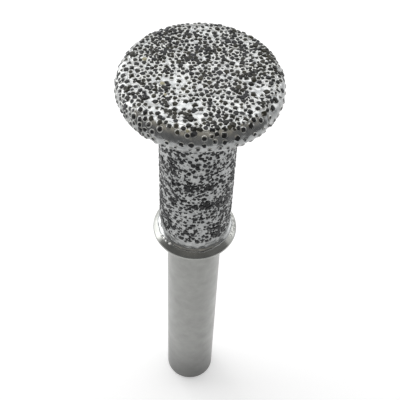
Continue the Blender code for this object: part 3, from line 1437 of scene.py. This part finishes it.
@dataclass
class Burr:
    """The whole tool."""

    sizes: BurrSizes = field(default_factory=BurrSizes)
    softness: float = 0.16 * MM
    root: float = 0.22 * MM
    film_width: float = 0.12 * MM
    bare_foot: float = 0.9 * MM
    rim_end_slope: float = -0.985

    def skin_outline(self) -> Outline:
        """Outline of the braze from the head's centre to its film on the collar."""
        head = self.sizes.head_outline(0.0, self.sizes.collar_top + self.root, 60)
        return head + self.sizes.crown_outline()[:2:-1]

    def build(self) -> None:
        """Build every piece and dress it."""
        s = self.sizes
        groups = EffectGroups.build()
        steel, braze = GroundSteel().material(groups), SilverBraze().material(groups)
        # The bead finish is braze painted paler, a painted highlight on the beads and the drops.
        diamond, bead = DiamondGrain().material(groups), PaintedHighlightBead().material()
        SteelBlank(s).build(steel)
        path = TurnedPath(self.skin_outline(), self.softness)
        face_end = s.flat_radius
        rim_end = path.where((path.path > face_end) & (path.out_height < self.rim_end_slope))
        neck_start = path.where(path.height < s.neck_top)
        film_start = path.where(path.height < s.collar_top + self.root)
        film_edge = path.where((path.path > film_start) & (path.radius > s.grit_radius + self.film_width))
        zones = {"face": (0.0, face_end), "rim": (face_end, rim_end), "underside": (rim_end, neck_start),
                 "neck": (neck_start, path.length)}
        grains = GrainField(path, s)
        grains.scatter(film_start - self.bare_foot)
        relief = BrazeRelief(grains, film_start, film_edge)
        BrazeSkin(s, path, relief).build(zones, braze)
        BrazeFillets(path, relief).build(zones, bead)
        BrazeLip(path, relief).build(braze, bead)
        DiamondGrit(grains).build(zones, diamond)


def bare_material(name: str) -> tuple[bpy.types.Material, bpy.types.NodeTree]:
    """Start a material for the studio, without any node.

    Args:
        name: The material's name.

    Returns:
        The material and its empty node tree.
    """
    material = bpy.data.materials.new(name)
    material.use_nodes = True
    material.node_tree.nodes.clear()
    return material, material.node_tree


@dataclass
class PhotoCamera:
    """The photograph's viewpoint, from the burr's outline in it."""

    elevation: float = 51.28
    distance: float = 89.13 * MM
    aim_height: float = 35.43 * MM
    roll: float = 2.21
    lens: float = 75.14
    sensor: float = 36.0
    shift: float = 0.01055
    clip: Span = (1 * MM, 10.0)

    def build(self) -> bpy.types.Object:
        """Place the camera and make it the scene's own."""
        data = bpy.data.cameras.new("photo_camera")
        data.sensor_width = self.sensor
        data.lens = self.lens
        data.shift_x = self.shift
        data.clip_start, data.clip_end = self.clip
        camera = linked("photo_camera", data)
        up = math.radians(self.elevation)
        away = Vector((0.0, -math.cos(up), math.sin(up))) * self.distance
        camera.location = away + UP * self.aim_height
        pitch = Matrix.Rotation(math.pi / 2 - up, 4, "X")
        camera.rotation_euler = (pitch @ Matrix.Rotation(math.radians(self.roll), 4, "Z")).to_euler()
        bpy.context.scene.camera = camera
        return camera


@dataclass(frozen=True)
class SoftLight:
    """A square soft light that looks at the burr.

    Azimuth 0 is straight behind the burr, and the left is negative.
    """

    name: str
    azimuth: float
    elevation: float
    size: float
    distance: float = 0.3
    radiance: float = 2.3

    def build(self, aim_height: float) -> None:
        """Hang the light.

        Args:
            aim_height: Height that it looks at.
        """
        data = bpy.data.lights.new(self.name, "AREA")
        data.shape = "SQUARE"
        data.size = self.size
        data.energy = self.radiance * math.pi * self.size ** 2
        lamp = linked(self.name, data)
        side, up = math.radians(self.azimuth), math.radians(self.elevation)
        away = Vector((math.sin(side) * math.cos(up), math.cos(side) * math.cos(up), math.sin(up)))
        lamp.location = UP * aim_height + away * self.distance
        lamp.rotation_euler = away.to_track_quat("Z", "Y").to_euler()


SOFT_LIGHTS = (
    SoftLight("top_softbox", azimuth=0.0, elevation=68.5, size=0.31, radiance=1.7),
    SoftLight("left_softbox", azimuth=-58.0, elevation=13.0, size=0.32, radiance=2.5),
    SoftLight("right_card", azimuth=60.0, elevation=12.0, size=0.16, radiance=1.3),
)


@dataclass
class Studio:
    """Pale floor, broad soft lights above and behind, and a dark flag round the viewpoint."""

    floor_size: float = 3.0
    floor_level: float = -0.02 * MM
    floor_colour: float = 0.8
    floor_glow: float = 0.395
    sky_fill: float = 0.28
    flag_radius: float = 0.07
    flag_height: float = 0.048
    flag_low: float = -25.0
    flag_high: float = 78.0
    flag_half_width: float = 85.0
    flag_grid: tuple[int, int] = (25, 19)
    flag_level: float = 0.24
    flag_glow_from: float = 14.0
    flag_glow_full: float = 74.0
    flag_glow: tuple = (0.62, 0.57, 0.48)

    def build(self) -> None:
        """Set up floor, light, flag and surroundings."""
        self.floor()
        for light in SOFT_LIGHTS:
            light.build(self.flag_height)
        self.flag()
        self.surroundings()
        bpy.context.scene.view_settings.view_transform = "Standard"

    @staticmethod
    def background_rays(tree: bpy.types.NodeTree) -> bpy.types.NodeSocket:
        """1 for rays that show the background: those of the camera, gloss and glass.

        Args:
            tree: Node tree that asks.

        Returns:
            The socket that says so.
        """
        rays = tree.nodes.new("ShaderNodeLightPath")
        total = rays.outputs["Is Camera Ray"]
        for label in ("Is Glossy Ray", "Is Transmission Ray"):
            either = tree.nodes.new("ShaderNodeMath")
            either.operation = "MAXIMUM"
            tree.links.new(total, either.inputs[0])
            tree.links.new(rays.outputs[label], either.inputs[1])
            total = either.outputs[0]
        return total

    def floor(self) -> None:
        """A wide pale floor that keeps the burr's shadow."""
        material, tree = bare_material("pale_floor")
        paint = tree.nodes.new("ShaderNodeBsdfDiffuse")
        paint.inputs["Color"].default_value = (self.floor_colour,) * 3 + (1.0,)
        glow = tree.nodes.new("ShaderNodeEmission")
        scale = tree.nodes.new("ShaderNodeMath")
        scale.operation = "MULTIPLY"
        scale.inputs[1].default_value = self.floor_glow
        tree.links.new(self.background_rays(tree), scale.inputs[0])
        tree.links.new(scale.outputs[0], glow.inputs["Strength"])
        both = tree.nodes.new("ShaderNodeAddShader")
        out = tree.nodes.new("ShaderNodeOutputMaterial")
        tree.links.new(paint.outputs[0], both.inputs[0])
        tree.links.new(glow.outputs[0], both.inputs[1])
        tree.links.new(both.outputs[0], out.inputs["Surface"])
        half = self.floor_size / 2
        corners = np.array([(-half, -half), (half, -half), (half, half), (-half, half)])
        corners = np.insert(corners, 2, self.floor_level, axis=1)
        new_piece("floor", corners, [(0, 1, 2, 3)], material)

    def flag(self) -> None:
        """A dark curved screen round the viewpoint that only reflections see."""
        wide, high = self.flag_grid
        turns = np.radians(np.linspace(-self.flag_half_width, self.flag_half_width, wide))
        rises = np.radians(np.linspace(self.flag_low, self.flag_high, high))
        points = [(math.sin(t) * math.cos(e), -math.cos(t) * math.cos(e), math.sin(e))
                  for e in rises for t in turns]
        points = np.array(points) * self.flag_radius + (0.0, 0.0, self.flag_height)
        starts = [row * wide + column for row in range(high - 1) for column in range(wide - 1)]
        faces = [(corner, corner + 1, corner + wide + 1, corner + wide) for corner in starts]
        material, tree = bare_material("dark_cloth")
        glow = tree.nodes.new("ShaderNodeEmission")
        place = tree.nodes.new("ShaderNodeTexCoord")
        split = tree.nodes.new("ShaderNodeSeparateXYZ")
        rise = tree.nodes.new("ShaderNodeMapRange")
        rise.interpolation_type = "SMOOTHSTEP"
        for label, angle in (("From Min", self.flag_glow_from), ("From Max", self.flag_glow_full)):
            height = self.flag_height + self.flag_radius * math.sin(math.radians(angle))
            rise.inputs[label].default_value = height
        fade = tree.nodes.new("ShaderNodeValToRGB")
        fade.color_ramp.elements[0].color = (self.flag_level,) * 3 + (1.0,)
        fade.color_ramp.elements[1].color = (*self.flag_glow, 1.0)
        out = tree.nodes.new("ShaderNodeOutputMaterial")
        tree.links.new(place.outputs["Object"], split.inputs["Vector"])
        tree.links.new(split.outputs["Z"], rise.inputs["Value"])
        tree.links.new(rise.outputs["Result"], fade.inputs["Fac"])
        tree.links.new(fade.outputs["Color"], glow.inputs["Color"])
        tree.links.new(glow.outputs[0], out.inputs["Surface"])
        flag = new_piece("dark_flag", points, faces, material)
        flag.visible_camera = False
        flag.visible_diffuse = False
        flag.visible_shadow = False

    def surroundings(self) -> None:
        """White all round for what shows the background, and softer as a light."""
        world = bpy.data.worlds.new("studio")
        bpy.context.scene.world = world
        world.use_nodes = True
        tree = world.node_tree
        tree.nodes.clear()
        shown = tree.nodes.new("ShaderNodeBackground")
        light = tree.nodes.new("ShaderNodeBackground")
        light.inputs["Strength"].default_value = self.sky_fill
        mix = tree.nodes.new("ShaderNodeMixShader")
        out = tree.nodes.new("ShaderNodeOutputWorld")
        for node in (shown, light):
            node.inputs["Color"].default_value = (1.0, 1.0, 1.0, 1.0)
        tree.links.new(self.background_rays(tree), mix.inputs["Fac"])
        tree.links.new(light.outputs[0], mix.inputs[1])
        tree.links.new(shown.outputs[0], mix.inputs[2])
        tree.links.new(mix.outputs[0], out.inputs["Surface"])


def main() -> None:
    """Build the burr, then the studio and the camera round it."""
    logging.basicConfig(level=logging.INFO, format="%(name)s: %(message)s")
    Burr().build()
    Studio().build()
    PhotoCamera().build()


if __name__ == "__main__":
    main()
